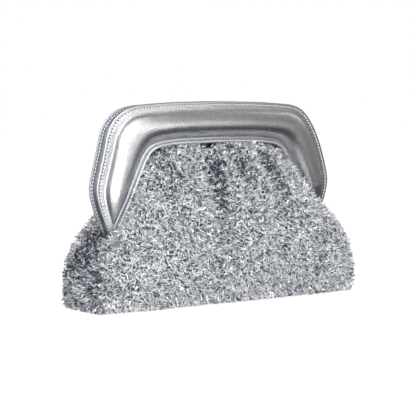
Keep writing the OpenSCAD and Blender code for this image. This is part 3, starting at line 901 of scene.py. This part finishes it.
def build_base():
    """The flat underside, and the lining's floor above the board."""
    edge = front_skin(np.linspace(-1, 1, BASE_COLS), np.ones(BASE_COLS), folds=0)
    x, y = edge[:, 0] * BASE_SHARES[0], -edge[:, 1] * BASE_SHARES[1]
    rows = np.linspace(-1, 1, BASE_ROWS)[:, None]
    under = np.stack([0 * rows + x, rows * y, np.full((BASE_ROWS, BASE_COLS), BASE_Z)], -1)
    ground = sheet_piece("base_ground", under, GROUND, BASE_THICK)
    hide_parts("base_panel")
    low = under * FLOOR_SHARES[0] * FLOOR_SHARES[1]
    low[..., 2] = FLOOR_Z
    floor = sheet_piece("lining_floor", low, LINING, FLOOR_THICK)
    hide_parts("lining")
    for obj, grid in ((ground, under), (floor, low)):
        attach(obj, "bag_body")


# ---------------------------------------------------------------- hardware kept from the CAD

def dress_hardware():
    """Gives the CAD nodes that are kept their materials."""
    finishes = {
        "base_board": BOARD, "left_hinge_tab": BAND, "right_hinge_tab": BAND, "slip_pocket": LINING,
        "left_hinge_pin": STEEL, "right_hinge_pin": STEEL,
    }
    for side in ("front", "rear"):
        finishes[side + "_core"] = BOARD
        for part in ("magnets", "left_leaf", "right_leaf", "rivets"):
            finishes[side + "_" + part] = STEEL
    for name, material in finishes.items():
        for slot in frame["nodes"][name].material_slots:
            slot.material = material


# ---------------------------------------------------------------- camera, light and floor

BAG_MIDDLE = Vector((0, 0, 0.1))


def aim(obj, target):
    """Turns a camera or a light towards a place."""
    obj.rotation_mode = "QUATERNION"
    obj.rotation_quaternion = (Vector(target) - obj.location).to_track_quat("-Z", "Y")


def direction(azimuth, elevation):
    """The way out from the bag at angles in degrees: azimuth 0 is in front, 90 is on the right."""
    a, e = math.radians(azimuth), math.radians(elevation)
    return Vector((math.sin(a) * math.cos(e), -math.cos(a) * math.cos(e), math.sin(e)))


CAMERA_AZIMUTH, CAMERA_ELEVATION, CAMERA_DISTANCE, CAMERA_LENS = -34, 4.6, 1.447, 126.1
AIM_LEFT, AIM_DOWN = 5.6 * MM, 8.8 * MM


def build_camera():
    """Left of the front and a little above, with a long lens aimed a little left of and below the middle."""
    data = bpy.data.cameras.new("camera")
    data.lens = CAMERA_LENS
    cam = bpy.data.objects.new("camera", data)
    bpy.context.scene.collection.objects.link(cam)
    cam.location = BAG_MIDDLE + direction(CAMERA_AZIMUTH, CAMERA_ELEVATION) * CAMERA_DISTANCE
    azimuth = math.radians(CAMERA_AZIMUTH)
    right = Vector((math.cos(azimuth), math.sin(azimuth), 0))
    aim(cam, BAG_MIDDLE - right * AIM_LEFT - Vector((0, 0, AIM_DOWN)))
    bpy.context.scene.camera = cam


def softbox(name, azimuth, elevation, distance, size, radiance):
    """A soft box that faces the bag, and stays above the floor."""
    data = bpy.data.lights.new(name, "AREA")
    data.shape = "SQUARE"
    data.size = size
    data.energy = radiance * math.pi * size**2
    obj = bpy.data.objects.new(name, data)
    bpy.context.scene.collection.objects.link(obj)
    obj.location = BAG_MIDDLE + distance * direction(azimuth, elevation)
    obj.location.z = max(obj.location.z, LIGHT_LOWEST)
    obj.visible_camera = False
    aim(obj, BAG_MIDDLE)


# Soft boxes: name, azimuth and elevation in degrees, distance and size, and brightness. The brightest stands at
# left of the front, so that the frame's left limb shines while its right one and its inner slope stay dark. The
# low ones light the underside of the roll and the pile, and the back ones the rear.
FAR, LOW, NEAR = (1.1, 0.55), (0.45, 0.2), (0.4, 0.12)
LIGHT_LOWEST = 0.03
SOFTBOXES = [
    ("left_key", -30, 34, FAR, 4.2),
    ("left_front", -40, 8, FAR, 1.3),
    ("front", -20, 8, FAR, 1.0),
    ("front_high", 0, 34, FAR, 1.4),
    ("overhead", 0, 62, FAR, 1.0),
    ("right_front", 26, 8, FAR, 0.25),
    ("left_fill", -62, 8, FAR, 0.2),
    ("left_high", -90, 34, FAR, 0.4),
    ("right_high", 90, 34, FAR, 0.35),
    ("back_left", -120, 34, FAR, 1.1),
    ("back_low", -140, 8, FAR, 1.2),
    ("back_right", 120, 34, FAR, 1.7),
    ("back", 165, 34, FAR, 2.2),
    ("low_left", -50, -12, LOW, 1.65),
    ("low_front", -24, -12, LOW, 1.7),
    ("near_front", 13, 22, NEAR, 2.0),
]

# The studio's grey from straight below, at 0, past the horizon, at 0.5, to straight above, at 1.
STUDIO_GREYS = [(0.0, 0.03), (0.36, 0.05), (0.48, 0.14), (0.56, 0.26), (0.64, 0.22), (0.74, 0.13), (1.0, 0.2)]
FLOOR_HALF, FLOOR_TONE, FLOOR_GLOW = 4, 0.9, 0.9


def build_world():
    """White to the camera, and to everything else a grey studio, brightest a little above the horizon."""
    world = bpy.data.worlds.new("studio")
    world.use_nodes = True
    nodes, links = world.node_tree.nodes, world.node_tree.links
    studio = nodes["Background"]
    where = nodes.new("ShaderNodeTexCoord").outputs["Generated"]
    split = nodes.new("ShaderNodeSeparateXYZ")
    links.new(where, split.inputs["Vector"])
    shade = ramp(nodes, [(at, grey(tone)) for at, tone in STUDIO_GREYS])
    height = node(nodes, "ShaderNodeMapRange", From_Min=-1.0, From_Max=1.0)
    links.new(split.outputs["Z"], height.inputs["Value"])
    links.new(height.outputs["Result"], shade.inputs["Fac"])
    links.new(shade.outputs["Color"], studio.inputs["Color"])
    white = nodes.new("ShaderNodeBackground")
    path = nodes.new("ShaderNodeLightPath")
    mix = nodes.new("ShaderNodeMixShader")
    links.new(path.outputs["Is Camera Ray"], mix.inputs["Fac"])
    links.new(studio.outputs["Background"], mix.inputs[1])
    links.new(white.outputs["Background"], mix.inputs[2])
    white.inputs["Color"].default_value = (1, 1, 1, 1)
    links.new(mix.outputs["Shader"], nodes["World Output"].inputs["Surface"])
    bpy.context.scene.world = world


def build_studio():
    """The floor, the world and the lights."""
    corners = [(x * FLOOR_HALF, y * FLOOR_HALF, 0) for x, y in ((-1, -1), (1, -1), (1, 1), (-1, 1))]
    floor = piece("floor", corners, [[(0, 1, 2, 3)]], [floor_material()], smooth=False)
    floor.visible_glossy = False
    build_world()
    for name, azimuth, elevation, (distance, size), radiance in SOFTBOXES:
        softbox(name, azimuth, elevation, distance, size, radiance)
    bpy.context.scene.view_settings.view_transform = "Standard"


def floor_material():
    """A white floor that glows a little, so that it meets the white background without an edge."""
    m, _, _, bsdf = new_material("floor")
    bsdf.inputs["Base Color"].default_value = grey(FLOOR_TONE)
    bsdf.inputs["Roughness"].default_value = 0.9
    bsdf.inputs["Emission Color"].default_value = (1, 1, 1, 1)
    bsdf.inputs["Emission Strength"].default_value = FLOOR_GLOW
    return m


build_camera()
build_studio()
build_half("front")
build_half("rear")
build_walls()
build_gussets()
build_base()
dress_hardware()
